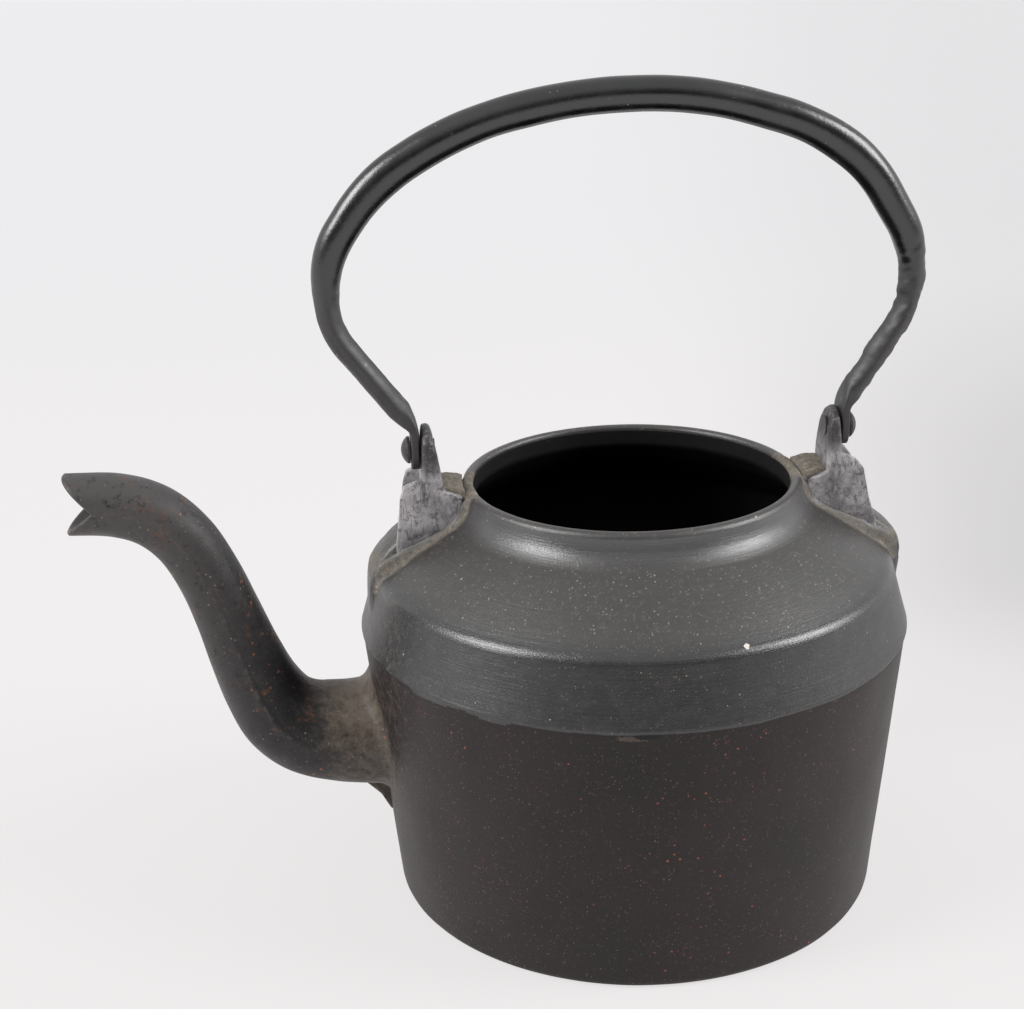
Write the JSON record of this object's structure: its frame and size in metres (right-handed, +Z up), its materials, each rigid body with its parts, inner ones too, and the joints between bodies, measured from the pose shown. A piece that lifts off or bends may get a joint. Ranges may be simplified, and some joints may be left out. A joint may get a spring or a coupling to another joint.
{
  "type": "cast iron kettle",
  "caption": "Open-topped round cast iron kettle with a swan-neck spout and a rolled bail handle that swings on riveted ears.",
  "frame": {"origin": "centre of the flat base", "axes": "+Z up through the mouth; the spout points to -X; the two handle pivots lie on a line along X; +Y is away from the viewer of the spout-left side view"},
  "size_m": [0.3571, 0.2312, 0.3436],
  "materials": {
    "body_iron": "dark cast iron, blacked shoulder and band, rust-speckled lower wall",
    "spout_iron": "dark cast iron with brown rust bloom",
    "ear_iron": "smooth grey iron",
    "rivet_iron": "hammered dark iron",
    "handle_iron": "blackened sheet iron, worn satin"
  },
  "bodies": {
    "kettle": {"kettle_body": "body_iron", "spout": "spout_iron", "spout_side_ear": "ear_iron", "rear_ear": "ear_iron", "spout_side_rivet": "rivet_iron", "rear_rivet": "rivet_iron"},
    "bail": {"handle": "handle_iron"}
  },
  "joints": [
    {"name": "handle_swing", "type": "hinge", "parent": "kettle", "child": "bail", "pos_m": [0, 0, 0.197], "axis": [1, 0, 0], "range_deg": [-100, 100]}
  ]
}
